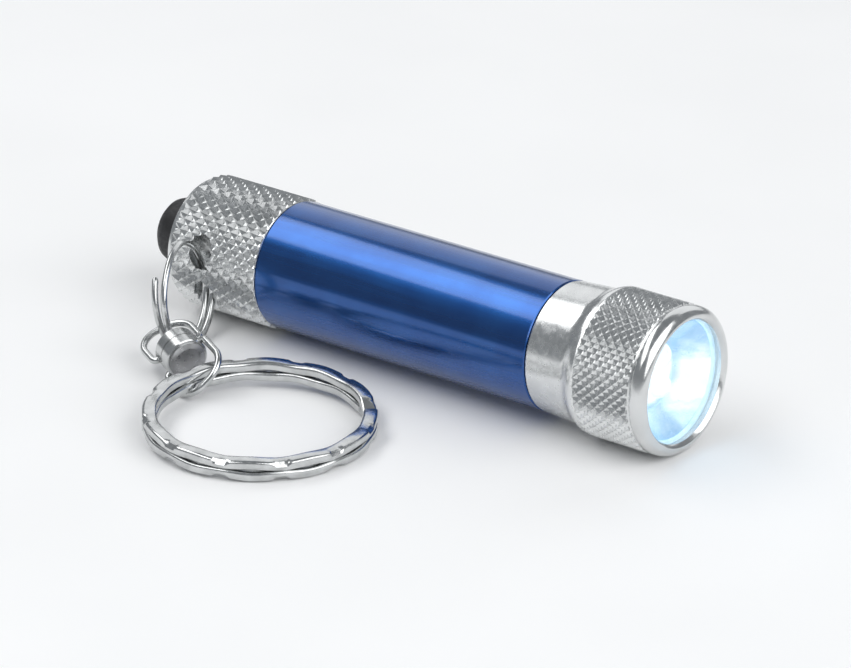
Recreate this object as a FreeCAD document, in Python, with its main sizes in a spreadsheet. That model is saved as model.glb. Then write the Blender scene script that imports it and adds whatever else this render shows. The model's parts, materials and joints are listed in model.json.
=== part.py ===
import FreeCAD, Part
import math
import os
import Sketcher
from FreeCAD import Placement, Rotation, Vector

doc = FreeCAD.newDocument("keychain_flashlight")

# ---------------------------------------------------------------- dimensions
# Torch stations run along the torch axis from the tail end face (mm).
DRIVING = [
    ("barrel_radius", 7.5, "blue tube and collar"),
    ("tail_radius", 7.85, "over the knurled tail cap"),
    ("head_radius", 8.5, "over the knurled head"),
    ("tail_length", 13.4, "tail cap"),
    ("barrel_length", 38.3, "visible blue tube"),
    ("collar_length", 5.9, "plain part of the head with its flare"),
    ("head_length", 14.6, "head shell"),
    ("bezel_groove", 0.4, "gap between head shell and bezel"),
    ("bezel_length", 1.56, "bezel in front of the gap"),
    ("lens_opening", 6.97, "radius of the clear opening"),
    ("cup_floor_radius", 4.2, "floor of the reflector"),
    ("cup_depth", 3.1, "reflector rim to floor"),
    ("diode_radius", 1.5, "light emitting diode"),
    ("diode_offset", 2.1, "diode centre from the axis"),
    ("cell_radius", 5.8, "standard 11.6 mm button cell"),
    ("cell_length", 5.4, "standard button cell"),
    ("bore_radius", 6.3, "inside of the barrel"),
    ("neck_radius", 6.8, "threaded necks of the barrel"),
    ("fit_gap", 0.05, "running clearance"),
    ("button_radius", 3.95, "rubber button"),
    ("button_reach", 5.6, "button behind the tail face"),
    ("button_travel", 1.2, "press travel"),
    ("stem_radius", 2.6, "button stem"),
    ("hole_radius", 1.6, "lanyard drilling"),
    ("hole_station", 5.1, "lanyard hole from the tail face"),
    ("hole_depth", 5.25, "meeting point of the two drillings from the axis"),
    ("hole_tilt", 27.5, "half angle between the two drillings, degrees"),
    ("hole_roll", 8.0, "drillings turned down about the torch axis, degrees"),
    ("small_ring_radius", 5.98, "centre line of the small split ring"),
    ("small_wire", 0.8, "wire of the small split ring"),
    ("small_ring_width", 1.65, "two turns side by side"),
    ("bail_wire", 0.8, "wire of the bails"),
    ("bail_half_width", 3.04, "leg centre line from the swivel axis"),
    ("bail_corner", 1.5, "centre line radius of a bail corner"),
    ("ring_bail_reach", 5.79, "crossbar from the swivel centre"),
    ("key_bail_reach", 6.8, "crossbar from the swivel centre"),
    ("cup_radius", 2.5, "swivel cup"),
    ("cup_length", 1.6, "one swivel cup"),
    ("cup_gap", 0.1, "between the two cups"),
    ("pin_station", 0.95, "bail pins from the swivel centre"),
    ("rivet_radius", 0.7, "swivel rivet"),
    ("key_ring_radius", 13.0, "outside of the key ring"),
    ("key_ring_section", 1.7, "radial thickness"),
    ("key_ring_height", 2.5, "two coils"),
    ("septum_bore", 5.9, "opening in the wall behind the board"),
    ("neck_rear", 9.6, "rear end of the barrel's rear neck"),
    ("sleeve_rear", 32.2, "rear end of the battery sleeve"),
    ("cap_inner_face", 7.4, "floor of the tail cap"),
    ("recess_depth", 2.6, "button recess"),
    ("rim_edge", 0.7, "chamfer of the tail cap's rear edge"),
    ("button_shoulder", 1.2, "step from the button to its stem"),
    ("spring_length", 3.2, "both springs"),
    ("spring_radius", 3.0, "centre line of a spring"),
    ("spring_wire", 0.2, "radius of the spring wire"),
    ("spring_pitch", 0.8, "rise of one spring turn"),
    ("switch_stud_radius", 1.2, "stud towards the first cell"),
    ("switch_pin_radius", 1.6, "pin behind the contact plate"),
    ("o_ring_wire", 0.42, "radius of the seal cord"),
    ("small_groove_high", 0.15, "half groove between the small ring's turns"),
    ("key_groove_high", 0.35, "half groove between the key ring's coils"),
    ("edge_break", 0.3, "chamfer of the head shell and spigot wall"),
    ("cup_wall", 0.8, "walls of the reflector and the lens thickness"),
    ("board_thickness", 1.2, "circuit board"),
    ("septum_thickness", 1.3, "wall behind the board"),
]
DERIVED = [
    ("axis_line", "=0"),
    ("tail_face", "=0"),
    ("barrel_rear", "=tail_length - fit_gap"),
    ("tail_front", "=tail_length - 2 * fit_gap"),
    ("barrel_front", "=tail_length + barrel_length"),
    ("head_rear", "=barrel_front + fit_gap"),
    ("head_seam", "=head_rear + 0.25"),
    ("head_seam_radius", "=barrel_radius - 0.2"),
    ("collar_end", "=head_rear + collar_length"),
    ("flare_end", "=collar_end + 1.5"),
    ("flare_mid", "=collar_end + 1.15"),
    ("flare_mid_radius", "=(barrel_radius + head_radius) / 2 + 0.15"),
    ("head_front", "=head_rear + head_length"),
    ("head_chamfer", "=head_front - edge_break"),
    ("head_chamfer_radius", "=head_radius - edge_break"),
    ("bezel_rear", "=head_front + bezel_groove"),
    ("bezel_front", "=bezel_rear + bezel_length"),
    ("bezel_wide", "=bezel_rear + 0.45"),
    ("bezel_wide_radius", "=head_radius - 0.02"),
    ("bezel_rear_radius", "=head_radius - 0.2"),
    ("bezel_round", "=bezel_front - 0.45"),
    ("bezel_round_radius", "=head_radius - 0.15"),
    ("bezel_lip_radius", "=head_radius - 0.45"),
    ("opening_plane", "=bezel_front - 0.45"),
    ("lens_front", "=opening_plane - 0.1"),
    ("lens_rear", "=lens_front - cup_wall"),
    ("seat_front", "=lens_front - 0.02"),
    ("lens_radius", "=spigot_bore - fit_gap"),
    ("spigot_bore", "=spigot_radius - edge_break"),
    ("spigot_radius", "=head_bore - fit_gap"),
    ("head_bore", "=head_radius - 0.85"),
    ("spigot_rear", "=bezel_rear - 2"),
    ("head_bore_rear", "=spigot_rear - 0.1"),
    ("seal_front", "=lens_rear - 0.02"),
    ("seal_rear", "=seal_front - 0.35"),
    ("seal_radius", "=spigot_bore - fit_gap"),
    ("seal_bore", "=cup_rim_radius + 0.05"),
    ("cup_rim", "=seal_rear - 0.02"),
    ("cup_rim_radius", "=lens_opening - 0.17"),
    ("cup_floor", "=cup_rim - cup_depth"),
    ("cup_back", "=cup_floor - cup_wall"),
    ("cup_shoulder", "=cup_floor + 0.9"),
    ("cup_skirt_radius", "=cavity_radius - 0.1"),
    ("cup_skirt_bore", "=cup_skirt_radius - cup_wall"),
    ("cup_skirt_rear", "=board_front + 0.02"),
    ("cup_back_radius", "=cup_floor_radius + 0.2"),
    ("cavity_radius", "=head_bore - 0.45"),
    ("septum_rear", "=neck_front + 1"),
    ("septum_front", "=septum_rear + septum_thickness"),
    ("neck_front", "=barrel_front + 4.5"),
    ("neck_bore", "=neck_radius + fit_gap"),
    ("board_rear", "=septum_front + 0.02"),
    ("board_front", "=board_rear + board_thickness"),
    ("board_radius", "=cavity_radius - 0.1"),
    ("diode_rear", "=board_front + 0.01"),
    ("diode_shoulder", "=cup_floor + 0.1"),
    ("diode_length", "=diode_shoulder - diode_rear"),
    ("diode_hole", "=diode_radius + fit_gap"),
    ("cup_floor_thickness", "=cup_floor - cup_back + 0.2"),
    ("cup_hole_start", "=cup_back - 0.1"),
    ("sleeve_radius", "=bore_radius - fit_gap"),
    ("sleeve_bore", "=cell_radius + fit_gap"),
    ("sleeve_front", "=sleeve_rear + 23"),
    ("first_cell", "=sleeve_rear + 0.7"),
    ("cell_pitch", "=cell_length + 0.02"),
    ("cell_body", "=cell_length - 0.6"),
    ("cell_cap_radius", "=cell_radius - 0.9"),
    ("cap_step_radius", "=stem_radius + 3.3"),
    ("cap_bore_rear", "=neck_rear - 1"),
    ("recess_radius", "=button_radius + 0.12"),
    ("guide_radius", "=stem_radius + 0.08"),
    ("rim_edge_radius", "=tail_radius - 0.35"),
    ("button_end", "=-button_reach"),
    ("button_dome", "=-button_reach + 0.8"),
    ("button_dome_end", "=-button_reach + 1.9"),
    ("button_dome_radius", "=button_radius - 0.5"),
    ("button_tip_radius", "=button_radius - 1.6"),
    ("button_tip", "=-button_reach + 0.18"),
    ("button_flange", "=cap_inner_face + fit_gap"),
    ("button_flange_radius", "=stem_radius + 1.4"),
    ("button_inner_end", "=button_flange + 1"),
    ("plate_rear", "=button_inner_end + 0.02"),
    ("plate_front", "=plate_rear + 0.3"),
    ("plate_radius", "=stem_radius + 1.8"),
    ("spring_rear", "=plate_front + 0.25"),
    ("switch_rear", "=neck_rear + 0.4"),
    ("switch_well", "=spring_rear + spring_length + 0.25"),
    ("switch_well_radius", "=plate_radius + 0.35"),
    ("switch_front", "=sleeve_rear - 0.05"),
    ("switch_stud", "=switch_front + 0.62"),
    ("switch_pin_rear", "=plate_front + button_travel + 0.15"),
    ("o_ring_radius", "=(neck_radius + 5.95) / 2"),
    ("tail_o_ring_station", "=neck_rear - 0.5"),
    ("head_o_ring_station", "=neck_front + 0.5"),
    ("front_spring_rear", "=first_cell + 4 * cell_pitch + 0.3"),
    ("small_middle", "=0"),
    ("small_edge_high", "=small_ring_width / 2"),
    ("small_edge_low", "=-small_edge_high"),
    ("small_side_high", "=small_edge_high - 0.2"),
    ("small_side_low", "=-small_side_high"),
    ("small_groove_low", "=-small_groove_high"),
    ("small_outer", "=small_ring_radius + small_wire / 2"),
    ("small_inner", "=small_ring_radius - small_wire / 2"),
    ("small_chamfer_outer", "=small_outer - 0.2"),
    ("small_chamfer_inner", "=small_inner + 0.2"),
    ("key_middle", "=0"),
    ("key_edge_high", "=key_ring_height / 2"),
    ("key_edge_low", "=-key_edge_high"),
    ("key_side_high", "=key_edge_high - 0.45"),
    ("key_side_low", "=-key_side_high"),
    ("key_groove_low", "=-key_groove_high"),
    ("key_outer", "=key_ring_radius"),
    ("key_inner", "=key_ring_radius - key_ring_section"),
    ("key_chamfer_outer", "=key_ring_radius - 0.45"),
    ("key_chamfer_inner", "=key_inner + 0.35"),
    ("key_groove_outer", "=key_ring_radius - 0.4"),
    ("cup_inner_face", "=cup_gap / 2"),
    ("cup_outer_edge", "=cup_length - 0.12"),
    ("cup_outer_face", "=cup_length"),
    ("cup_face_radius", "=cup_radius - 0.12"),
    ("rivet_hole", "=rivet_radius + fit_gap"),
    ("pin_hole", "=bail_wire / 2 + fit_gap"),
    ("pin_hole_length", "=2 * cup_radius + 2"),
    ("rivet_head_radius", "=cup_radius - 0.35"),
    ("rivet_neck_high", "=cup_length + 0.02"),
    ("rivet_neck_low", "=-rivet_neck_high"),
    ("rivet_high", "=cup_length + 0.3"),
    ("rivet_low", "=-rivet_high"),
    ("rivet_crown_radius", "=rivet_head_radius - 0.6"),
    ("rivet_side_high", "=rivet_high - 0.12"),
    ("rivet_side_low", "=-rivet_side_high"),
    ("overall_length", "=bezel_front"),
]

sheet = doc.addObject("Spreadsheet::Sheet", "Dims")
for row, (alias, value, note) in enumerate(DRIVING, start=1):
    sheet.set(f"A{row}", alias)
    sheet.set(f"B{row}", str(value))
    sheet.set(f"C{row}", note)
    sheet.setAlias(f"B{row}", alias)
for row, (alias, formula) in enumerate(DERIVED, start=len(DRIVING) + 2):
    sheet.setAlias(f"B{row}", alias)
for row, (alias, formula) in enumerate(DERIVED, start=len(DRIVING) + 2):
    sheet.set(f"A{row}", alias)
    sheet.set(f"B{row}", formula)
doc.recompute()


def size(alias):
    """One size from the sheet, in mm or degrees."""
    return float(sheet.get(alias))


# ---------------------------------------------------------------- placements
# Everything is laid out with the tail end face over the layout origin, then
# shifted so that the row's origin is under the middle of the whole object.
KEY_RING_CENTRE = Vector(28.15, -24.28, 1.75)
KEY_RING_LEAN = 2.15
KEY_RING_LEAN_TOWARDS = -22.0
SMALL_RING_CENTRE = Vector(6.55, -11.72, 6.42)
SMALL_RING_YAW = 15.0
SMALL_RING_PITCH = 7.9
SWIVEL_CENTRE = Vector(11.95, -18.71, 3.1)
SWIVEL_YAW = -24.5
SWIVEL_PITCH = -6.3
RING_BAIL_ROLL = 19.9
KEY_BAIL_ROLL = 43.9

MIDDLE = Vector(
    (size("overall_length") - size("button_reach")) / 2,
    (size("head_radius") + KEY_RING_CENTRE.y - size("key_ring_radius")) / 2,
    0,
)
TORCH_LEAN = math.degrees(
    math.asin((size("head_radius") - size("tail_radius")) / (size("flare_end") - size("rim_edge")))
)
X_AXIS = Vector(1, 0, 0)
Y_AXIS = Vector(0, 1, 0)
Z_AXIS = Vector(0, 0, 1)
TAIL_HEIGHT = size("tail_radius") - size("rim_edge") * math.sin(math.radians(TORCH_LEAN))
TORCH = Placement(Vector(0, 0, TAIL_HEIGHT) - MIDDLE, Rotation(Y_AXIS, -TORCH_LEAN))


def heading(yaw, pitch):
    """Rotation that points +X to a yaw and an upward pitch, in degrees."""
    return Rotation(Z_AXIS, yaw) * Rotation(Y_AXIS, -pitch)


SWIVEL_TURN = heading(SWIVEL_YAW, SWIVEL_PITCH)
SWIVEL = Placement(SWIVEL_CENTRE - MIDDLE, SWIVEL_TURN)
RING_BAIL = Placement(
    SWIVEL_CENTRE - MIDDLE, SWIVEL_TURN * Rotation(X_AXIS, RING_BAIL_ROLL) * Rotation(Z_AXIS, 180)
)
KEY_BAIL = Placement(SWIVEL_CENTRE - MIDDLE, SWIVEL_TURN * Rotation(X_AXIS, KEY_BAIL_ROLL))
SMALL_RING = Placement(
    SMALL_RING_CENTRE - MIDDLE, heading(SMALL_RING_YAW, SMALL_RING_PITCH)
)
LEAN_DIRECTION = Vector(
    math.cos(math.radians(KEY_RING_LEAN_TOWARDS)), math.sin(math.radians(KEY_RING_LEAN_TOWARDS)), 0
)
KEY_RING = Placement(
    KEY_RING_CENTRE - MIDDLE,
    Rotation(Z_AXIS.cross(LEAN_DIRECTION), KEY_RING_LEAN) * Rotation(Y_AXIS, -90),
)

finished = []


def finish(item, label, placement):
    """Name a finished sub-part and put it in its place."""
    item.Label = label
    item.Placement = placement
    finished.append(item)


# ---------------------------------------------------------------- builders
def plane_of(body, role):
    """One of a body's own origin planes or axes."""
    return next(f for f in body.Origin.OriginFeatures if f.Role == role)


def outline_sketch(body, name, outline):
    """A closed outline on the XY plane; each corner is a pair of sheet names (along, radius)."""
    sketch = body.newObject("Sketcher::SketchObject", name)
    sketch.AttachmentSupport = [(plane_of(body, "XY_Plane"), "")]
    sketch.MapMode = "FlatFace"
    corners = [Vector(size(along), size(radius), 0) for along, radius in outline]
    lines = []
    for start, end in zip(corners, corners[1:] + corners[:1]):
        lines.append(sketch.addGeometry(Part.LineSegment(start, end), False))
    for line, following in zip(lines, lines[1:] + lines[:1]):
        sketch.addConstraint(Sketcher.Constraint("Coincident", line, 2, following, 1))
    for line, (along, radius) in zip(lines, outline):
        place = sketch.addConstraint(Sketcher.Constraint("DistanceX", -1, 1, line, 1, size(along)))
        sketch.setExpression(f"Constraints[{place}]", f"Dims.{along}")
        if radius == "axis_line":
            sketch.addConstraint(Sketcher.Constraint("PointOnObject", line, 1, -1))
        else:
            place = sketch.addConstraint(
                Sketcher.Constraint("DistanceY", -1, 1, line, 1, size(radius))
            )
            sketch.setExpression(f"Constraints[{place}]", f"Dims.{radius}")
    return sketch


def turned(name, outline):
    """A turned body: the outline revolved about the X axis."""
    body = doc.addObject("PartDesign::Body", name)
    sketch = outline_sketch(body, name + "_outline", outline)
    turning = body.newObject("PartDesign::Revolution", name + "_turning")
    turning.Profile = sketch
    turning.ReferenceAxis = (sketch, ["H_Axis"])
    turning.Angle = 360
    sketch.Visibility = False
    return body


def drilled(name, base, tools):
    """A boolean cut of one or more tools, one after the other."""
    for number, tool in enumerate(tools, start=1):
        cut = doc.addObject("Part::Cut", f"{name}_cut_{number}")
        cut.Base = base
        cut.Tool = tool
        base = cut
    return base


def rod(name, radius, length, placement):
    """A cylinder whose radius and length are sheet names."""
    cylinder = doc.addObject("Part::Cylinder", name)
    cylinder.setExpression("Radius", f"Dims.{radius}")
    cylinder.setExpression("Height", f"Dims.{length}")
    cylinder.Placement = placement
    return cylinder


def rounded_ring(name, major, minor):
    """A torus about the X axis whose radii are sheet names."""
    ring = doc.addObject("Part::Torus", name)
    ring.setExpression("Radius1", f"Dims.{major}")
    ring.setExpression("Radius2", f"Dims.{minor}")
    return ring


def make_spring(label, placement):
    """An open wire coil whose axis is local Z, starting at z = 0."""
    path = Part.makeHelix(size("spring_pitch"), size("spring_length"), size("spring_radius"))
    start = Vector(size("spring_radius"), 0, 0)
    section = Part.Wire(Part.makeCircle(size("spring_wire"), start, Y_AXIS))
    spring = doc.addObject("Part::Feature", label)
    spring.Shape = Part.Wire(path).makePipeShell([section], True, True)
    finish(spring, label, placement)


def along_torch(station):
    """Placement at a station on the torch axis, turned so that local Z runs along it."""
    return TORCH * Placement(Vector(size(station), 0, 0), Rotation(Y_AXIS, 90))


# ---------------------------------------------------------------- torch body
def make_barrel():
    """Blue tube with a neck at each end for the tail cap and the head."""
    outline = [
        ("neck_rear", "bore_radius"),
        ("neck_rear", "neck_radius"),
        ("barrel_rear", "neck_radius"),
        ("barrel_rear", "barrel_radius"),
        ("barrel_front", "barrel_radius"),
        ("barrel_front", "neck_radius"),
        ("neck_front", "neck_radius"),
        ("neck_front", "bore_radius"),
    ]
    finish(turned("barrel", outline), "barrel", TORCH)


def make_tail_cap():
    """Tail cap with the button recess and two drillings that meet inside the wall."""
    outline = [
        ("tail_face", "recess_radius"),
        ("tail_face", "rim_edge_radius"),
        ("rim_edge", "tail_radius"),
        ("tail_front", "tail_radius"),
        ("tail_front", "neck_bore"),
        ("cap_bore_rear", "neck_bore"),
        ("cap_bore_rear", "cap_step_radius"),
        ("cap_inner_face", "cap_step_radius"),
        ("cap_inner_face", "guide_radius"),
        ("recess_depth", "guide_radius"),
        ("recess_depth", "recess_radius"),
    ]
    blank = turned("tail_cap_blank", outline)
    drillings = []
    for number, side in enumerate((1, -1), start=1):
        tilt = Rotation(X_AXIS, 90 - side * (90 - size("hole_tilt")))
        roll = Placement(Vector(0, 0, 0), Rotation(X_AXIS, size("hole_roll")))
        meeting = Placement(Vector(size("hole_station"), -size("hole_depth"), 0), tilt)
        drillings.append(
            rod(f"lanyard_drilling_{number}", "hole_radius", "barrel_radius", roll * meeting)
        )
    finish(drilled("tail_cap", blank, drillings), "tail_cap", TORCH)


def make_head_shell():
    """Collar, flare and wide band turned in one, with the cavity for the lamp."""
    outline = [
        ("head_rear", "neck_bore"),
        ("head_rear", "head_seam_radius"),
        ("head_seam", "barrel_radius"),
        ("collar_end", "barrel_radius"),
        ("flare_mid", "flare_mid_radius"),
        ("flare_end", "head_radius"),
        ("head_chamfer", "head_radius"),
        ("head_front", "head_chamfer_radius"),
        ("head_front", "head_bore"),
        ("head_bore_rear", "head_bore"),
        ("head_bore_rear", "cavity_radius"),
        ("septum_front", "cavity_radius"),
        ("septum_front", "septum_bore"),
        ("septum_rear", "septum_bore"),
        ("septum_rear", "neck_bore"),
    ]
    finish(turned("head_shell", outline), "head_shell", TORCH)


def make_bezel_ring():
    """Polished ring that screws into the head and holds the lens."""
    outline = [
        ("spigot_rear", "spigot_bore"),
        ("spigot_rear", "spigot_radius"),
        ("bezel_rear", "spigot_radius"),
        ("bezel_rear", "bezel_rear_radius"),
        ("bezel_wide", "bezel_wide_radius"),
        ("bezel_round", "bezel_round_radius"),
        ("bezel_front", "bezel_lip_radius"),
        ("opening_plane", "lens_opening"),
        ("lens_front", "lens_opening"),
        ("lens_front", "spigot_bore"),
    ]
    finish(turned("bezel_ring", outline), "bezel_ring", TORCH)


def make_lens():
    """Flat clear window."""
    outline = [
        ("lens_rear", "axis_line"),
        ("lens_rear", "lens_radius"),
        ("seat_front", "lens_radius"),
        ("seat_front", "axis_line"),
    ]
    finish(turned("lens", outline), "lens", TORCH)


def make_lens_seal():
    """Soft flat ring between the lens and the reflector."""
    outline = [
        ("seal_rear", "seal_bore"),
        ("seal_rear", "seal_radius"),
        ("seal_front", "seal_radius"),
        ("seal_front", "seal_bore"),
    ]
    finish(turned("lens_seal", outline), "lens_seal", TORCH)


DIODE_ANGLES = (90, 210, 330)


def diode_place(station, angle):
    """Placement of a diode or its hole, local Z along the torch axis."""
    turn = Rotation(X_AXIS, angle)
    return Placement(
        Vector(size(station), 0, 0) + turn.multVec(Vector(0, 0, size("diode_offset"))),
        Rotation(Y_AXIS, 90),
    )


def make_reflector():
    """Conical cup with a skirt that stands on the circuit board."""
    outline = [
        ("cup_skirt_rear", "cup_skirt_bore"),
        ("cup_skirt_rear", "cup_skirt_radius"),
        ("cup_rim", "cup_skirt_radius"),
        ("cup_rim", "cup_rim_radius"),
        ("cup_floor", "cup_floor_radius"),
        ("cup_floor", "axis_line"),
        ("cup_back", "axis_line"),
        ("cup_back", "cup_back_radius"),
        ("cup_shoulder", "cup_skirt_bore"),
    ]
    holes = []
    for number, angle in enumerate(DIODE_ANGLES, start=1):
        place = diode_place("cup_hole_start", angle)
        holes.append(rod(f"diode_hole_{number}", "diode_hole", "cup_floor_thickness", place))
    finish(drilled("reflector", turned("reflector_blank", outline), holes), "reflector", TORCH)


def make_diodes():
    """Three clear diodes, each a short cylinder with a domed end."""
    for number, angle in enumerate(DIODE_ANGLES, start=1):
        stem = rod(f"diode_stem_{number}", "diode_radius", "diode_length", Placement())
        dome = doc.addObject("Part::Sphere", f"diode_dome_{number}")
        dome.setExpression("Radius", "Dims.diode_radius")
        dome.setExpression("Placement.Base.z", "Dims.diode_length")
        diode = doc.addObject("Part::Fuse", f"diode_{number}")
        diode.Base = stem
        diode.Tool = dome
        finish(diode, f"led_{number}", TORCH * diode_place("diode_rear", angle))


def make_led_board():
    """Round circuit board that carries the diodes."""
    outline = [
        ("board_rear", "axis_line"),
        ("board_rear", "board_radius"),
        ("board_front", "board_radius"),
        ("board_front", "axis_line"),
    ]
    finish(turned("led_board", outline), "led_board", TORCH)


# ---------------------------------------------------------------- power and switch
def make_battery_sleeve():
    """Thin plastic tube that keeps the cells in line."""
    outline = [
        ("sleeve_rear", "sleeve_bore"),
        ("sleeve_rear", "sleeve_radius"),
        ("sleeve_front", "sleeve_radius"),
        ("sleeve_front", "sleeve_bore"),
    ]
    finish(turned("battery_sleeve", outline), "battery_sleeve", TORCH)


def make_button_cells():
    """Four button cells, each with its narrower cap towards the head."""
    outline = [
        ("axis_line", "axis_line"),
        ("axis_line", "cell_radius"),
        ("cell_body", "cell_radius"),
        ("cell_body", "cell_cap_radius"),
        ("cell_length", "cell_cap_radius"),
        ("cell_length", "axis_line"),
    ]
    for number in range(4):
        station = size("first_cell") + number * size("cell_pitch")
        cell = turned(f"button_cell_{number + 1}", outline)
        finish(cell, cell.Name, TORCH * Placement(Vector(station, 0, 0), Rotation()))


def make_springs():
    """Contact spring under the board and return spring behind the button plate."""
    make_spring("front_contact_spring", along_torch("front_spring_rear"))
    make_spring("switch_spring", along_torch("spring_rear"))


def make_push_button():
    """Rubber button: domed cap, stem and a flange that keeps it in the tail cap."""
    outline = [
        ("button_end", "axis_line"),
        ("button_tip", "button_tip_radius"),
        ("button_dome", "button_dome_radius"),
        ("button_dome_end", "button_radius"),
        ("button_shoulder", "button_radius"),
        ("button_shoulder", "stem_radius"),
        ("button_flange", "stem_radius"),
        ("button_flange", "button_flange_radius"),
        ("button_inner_end", "button_flange_radius"),
        ("button_inner_end", "axis_line"),
    ]
    finish(turned("push_button", outline), "push_button", TORCH)


def make_switch_contact():
    """Metal plate that the button pushes against the switch pin."""
    outline = [
        ("plate_rear", "axis_line"),
        ("plate_rear", "plate_radius"),
        ("plate_front", "plate_radius"),
        ("plate_front", "axis_line"),
    ]
    finish(turned("switch_contact", outline), "switch_contact", TORCH)


def make_switch_body():
    """Plastic holder with a well for the return spring and a stud for the first cell."""
    outline = [
        ("switch_rear", "switch_well_radius"),
        ("switch_rear", "sleeve_radius"),
        ("switch_front", "sleeve_radius"),
        ("switch_front", "switch_stud_radius"),
        ("switch_stud", "switch_stud_radius"),
        ("switch_stud", "axis_line"),
        ("switch_pin_rear", "axis_line"),
        ("switch_pin_rear", "switch_pin_radius"),
        ("switch_well", "switch_pin_radius"),
        ("switch_well", "switch_well_radius"),
    ]
    finish(turned("switch_body", outline), "switch_body", TORCH)


def make_o_rings():
    """Seals at the rear and front ends of the barrel necks."""
    rear = rounded_ring("tail_o_ring", "o_ring_radius", "o_ring_wire")
    finish(rear, "tail_o_ring", along_torch("tail_o_ring_station"))
    front = rounded_ring("head_o_ring", "o_ring_radius", "o_ring_wire")
    finish(front, "head_o_ring", along_torch("head_o_ring_station"))


# ---------------------------------------------------------------- chain
def make_small_split_ring():
    """Two turns of thin wire side by side, drawn as one rounded band about the X axis."""
    outline = [
        ("small_side_low", "small_inner"),
        ("small_edge_low", "small_chamfer_inner"),
        ("small_edge_low", "small_chamfer_outer"),
        ("small_side_low", "small_outer"),
        ("small_groove_low", "small_outer"),
        ("small_middle", "small_chamfer_outer"),
        ("small_groove_high", "small_outer"),
        ("small_side_high", "small_outer"),
        ("small_edge_high", "small_chamfer_outer"),
        ("small_edge_high", "small_chamfer_inner"),
        ("small_side_high", "small_inner"),
    ]
    finish(turned("small_split_ring", outline), "small_split_ring", SMALL_RING)


def bail_path(reach):
    """Centre line of a bail in its own XY plane: in from one pin, round the loop, out to the other."""
    width = size("bail_half_width")
    corner = size("bail_corner")
    pin = size("pin_station")
    tight = size("bail_wire") * 0.75
    inner = size("cup_radius") - 0.75
    diagonal = math.sqrt(0.5)
    half = []
    half.append(Part.LineSegment(Vector(pin, inner, 0), Vector(pin, width - tight, 0)))
    half.append(
        Part.Arc(
            Vector(pin, width - tight, 0),
            Vector(pin + tight * (1 - diagonal), width - tight * (1 - diagonal), 0),
            Vector(pin + tight, width, 0),
        )
    )
    half.append(Part.LineSegment(Vector(pin + tight, width, 0), Vector(reach - corner, width, 0)))
    half.append(
        Part.Arc(
            Vector(reach - corner, width, 0),
            Vector(reach - corner * (1 - diagonal), width - corner * (1 - diagonal), 0),
            Vector(reach, width - corner, 0),
        )
    )
    half.append(Part.LineSegment(Vector(reach, width - corner, 0), Vector(reach, corner - width, 0)))
    edges = [piece.toShape() for piece in half]
    for piece in reversed(half[:-1]):
        edges.append(piece.toShape().mirror(Vector(0, 0, 0), Y_AXIS))
    return Part.Wire(Part.__sortEdges__(edges)), Vector(pin, inner, 0)


def make_bail(label, reach, placement):
    """A bent wire loop whose two ends turn inwards as pins."""
    path, start = bail_path(size(reach))
    section = Part.Wire(Part.makeCircle(size("bail_wire") / 2, start, Y_AXIS))
    bail = doc.addObject("Part::Feature", label)
    bail.Shape = path.makePipeShell([section], True, True)
    finish(bail, label, placement)


def make_cup(label, placement):
    """Half of the swivel barrel: a drum with a rivet hole and a cross hole for the bail pins."""
    outline = [
        ("cup_inner_face", "rivet_hole"),
        ("cup_inner_face", "cup_radius"),
        ("cup_outer_edge", "cup_radius"),
        ("cup_outer_face", "cup_face_radius"),
        ("cup_outer_face", "rivet_hole"),
    ]
    blank = turned(label + "_blank", outline)
    across = Placement(Vector(size("pin_station"), size("cup_radius") + 1, 0), Rotation(X_AXIS, 90))
    hole = rod(label + "_pin_hole", "pin_hole", "pin_hole_length", across)
    finish(drilled(label, blank, [hole]), label, placement)


def make_swivel_rivet():
    """Rivet through both cups, with a head on each end."""
    outline = [
        ("rivet_low", "axis_line"),
        ("rivet_low", "rivet_crown_radius"),
        ("rivet_side_low", "rivet_head_radius"),
        ("rivet_neck_low", "rivet_head_radius"),
        ("rivet_neck_low", "rivet_radius"),
        ("rivet_neck_high", "rivet_radius"),
        ("rivet_neck_high", "rivet_head_radius"),
        ("rivet_side_high", "rivet_head_radius"),
        ("rivet_high", "rivet_crown_radius"),
        ("rivet_high", "axis_line"),
    ]
    finish(turned("swivel_rivet", outline), "swivel_rivet", SWIVEL)


def make_key_ring():
    """Key ring of two coils, drawn as one closed band about the X axis with a groove between them."""
    outline = [
        ("key_side_low", "key_inner"),
        ("key_edge_low", "key_chamfer_inner"),
        ("key_edge_low", "key_chamfer_outer"),
        ("key_side_low", "key_outer"),
        ("key_groove_low", "key_outer"),
        ("key_middle", "key_groove_outer"),
        ("key_groove_high", "key_outer"),
        ("key_side_high", "key_outer"),
        ("key_edge_high", "key_chamfer_outer"),
        ("key_edge_high", "key_chamfer_inner"),
        ("key_side_high", "key_inner"),
    ]
    finish(turned("key_ring", outline), "key_ring", KEY_RING)


def make_chain():
    """Small split ring, swivel with its two bails, and the key ring."""
    make_small_split_ring()
    make_bail("bail_ring_side", "ring_bail_reach", RING_BAIL)
    make_bail("bail_key_side", "key_bail_reach", KEY_BAIL)
    make_cup("swivel_cup_ring_side", RING_BAIL)
    make_cup("swivel_cup_key_side", KEY_BAIL)
    make_swivel_rivet()
    make_key_ring()


def make_torch():
    """Every piece of the torch itself."""
    make_barrel()
    make_tail_cap()
    make_head_shell()
    make_bezel_ring()
    make_lens()
    make_lens_seal()
    make_reflector()
    make_diodes()
    make_led_board()
    make_battery_sleeve()
    make_button_cells()
    make_springs()
    make_push_button()
    make_switch_contact()
    make_switch_body()
    make_o_rings()


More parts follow.
